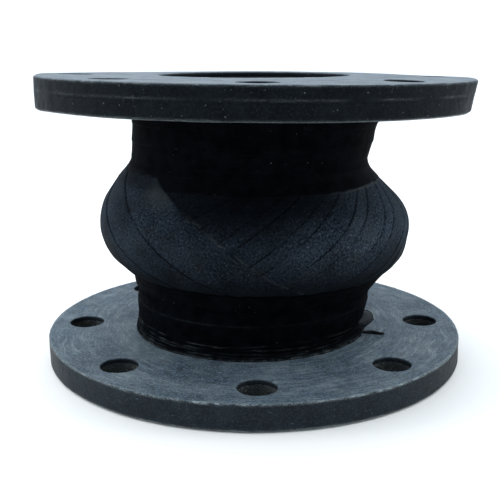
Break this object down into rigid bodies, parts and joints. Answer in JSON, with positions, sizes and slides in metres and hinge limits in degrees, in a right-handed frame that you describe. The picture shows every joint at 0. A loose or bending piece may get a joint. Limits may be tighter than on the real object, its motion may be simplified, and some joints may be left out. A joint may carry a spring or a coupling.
{
  "type": "rubber expansion joint",
  "caption": "Spool-type rubber expansion joint: one full arch with reinforced necks between two drilled full-face rubber flanges.",
  "frame": {"origin": "centre of the lower flange's sealing face", "axes": "+Z along the pipe's axis from the lower flange to the upper one; a bolt hole lies on +X and on -Y, which is the side that faces the viewer"},
  "size_m": [0.2286, 0.2286, 0.1524],
  "materials": {
    "flange_rubber": "matte, dusty and scuffed",
    "neck_rubber": "matte, tape-wrapped",
    "arch_rubber": "matte with a woven cloth print",
    "liner_rubber": "smooth satin",
    "cord_fabric": "rubberised cord fabric",
    "ring_steel": "brushed"
  },
  "bodies": {
    "lower_end": {"lower_face_sheet": "flange_rubber", "lower_flange_ply_1": "cord_fabric", "lower_flange_ply_2": "cord_fabric", "lower_flange_ply_3": "cord_fabric", "lower_flange_ply_4": "cord_fabric", "lower_back_cover": "flange_rubber", "lower_fillet_bead": "neck_rubber", "lower_collar_carcass": "cord_fabric", "inner_tube": "liner_rubber", "lower_binding_wrap": "neck_rubber", "lower_neck_cover": "neck_rubber"},
    "lower_neck": {"lower_neck_carcass": "cord_fabric", "lower_body_ring": "ring_steel"},
    "lower_root": {"lower_root_carcass": "cord_fabric"},
    "lower_flank": {"lower_flank_carcass": "cord_fabric"},
    "lower_crown": {"lower_crown_carcass": "cord_fabric", "arch_cover": "arch_rubber", "inner_bias_ply": "arch_rubber", "outer_bias_ply": "arch_rubber"},
    "upper_crown": {"upper_crown_carcass": "cord_fabric"},
    "upper_flank": {"upper_flank_carcass": "cord_fabric"},
    "upper_root": {"upper_root_carcass": "cord_fabric"},
    "upper_neck": {"upper_neck_carcass": "cord_fabric", "upper_body_ring": "ring_steel"},
    "upper_collar": {"upper_collar_carcass": "cord_fabric"},
    "upper_end": {"upper_face_sheet": "flange_rubber", "upper_flange_ply_1": "cord_fabric", "upper_flange_ply_2": "cord_fabric", "upper_flange_ply_3": "cord_fabric", "upper_flange_ply_4": "cord_fabric", "upper_back_cover": "flange_rubber", "upper_fillet_bead": "neck_rubber", "upper_binding_wrap": "neck_rubber", "upper_neck_cover": "neck_rubber"}
  },
  "joints": [
    {"name": "lateral_x_lower", "type": "slide", "parent": "lower_end", "child": "lower_neck", "axis": [1, 0, 0], "range_m": [-0.00635, 0.00635], "stiffness_N_per_m": 108000, "deforming": ["lower_binding_wrap", "lower_neck_cover"]},
    {"name": "lateral_y_lower", "type": "slide", "parent": "lower_neck", "child": "lower_root", "axis": [0, 1, 0], "range_m": [-0.00635, 0.00635], "stiffness_N_per_m": 108000},
    {"name": "tilt_x_lower", "type": "hinge", "parent": "lower_root", "child": "lower_flank", "pos_m": [0, 0, 0.047], "axis": [1, 0, 0], "range_deg": [-3.55, 3.55], "stiffness_Nm_per_rad": 480, "deforming": ["lower_flank_carcass"]},
    {"name": "tilt_y_lower", "type": "hinge", "parent": "lower_flank", "child": "lower_crown", "pos_m": [0, 0, 0.057], "axis": [0, 1, 0], "range_deg": [-3.55, 3.55], "stiffness_Nm_per_rad": 480, "deforming": ["lower_crown_carcass"]},
    {"name": "axial", "type": "slide", "parent": "lower_crown", "child": "upper_crown", "axis": [0, 0, 1], "range_m": [-0.0111, 0.0064], "stiffness_N_per_m": 55000, "deforming": ["upper_crown_carcass", "inner_tube", "arch_cover", "inner_bias_ply", "outer_bias_ply"]},
    {"name": "tilt_y_upper", "type": "hinge", "parent": "upper_crown", "child": "upper_flank", "pos_m": [0, 0, 0.09], "axis": [0, 1, 0], "range_deg": [-3.55, 3.55], "stiffness_Nm_per_rad": 480, "deforming": ["upper_flank_carcass"]},
    {"name": "tilt_x_upper", "type": "hinge", "parent": "upper_flank", "child": "upper_root", "pos_m": [0, 0, 0.1], "axis": [1, 0, 0], "range_deg": [-3.55, 3.55], "stiffness_Nm_per_rad": 480},
    {"name": "lateral_y_upper", "type": "slide", "parent": "upper_root", "child": "upper_neck", "axis": [0, 1, 0], "range_m": [-0.00635, 0.00635], "stiffness_N_per_m": 108000},
    {"name": "lateral_x_upper", "type": "slide", "parent": "upper_neck", "child": "upper_collar", "axis": [1, 0, 0], "range_m": [-0.00635, 0.00635], "stiffness_N_per_m": 108000, "deforming": ["upper_binding_wrap", "upper_neck_cover"]},
    {"name": "twist", "type": "hinge", "parent": "upper_collar", "child": "upper_end", "pos_m": [0, 0, 0.134], "axis": [0, 0, 1], "range_deg": [-3, 3], "stiffness_Nm_per_rad": 3000}
  ],
  "couplings": [
    {"joint": "lateral_x_upper", "follows": "lateral_x_lower", "ratio": 1},
    {"joint": "lateral_y_upper", "follows": "lateral_y_lower", "ratio": 1},
    {"joint": "tilt_x_upper", "follows": "tilt_x_lower", "ratio": 1},
    {"joint": "tilt_y_upper", "follows": "tilt_y_lower", "ratio": 1}
  ]
}
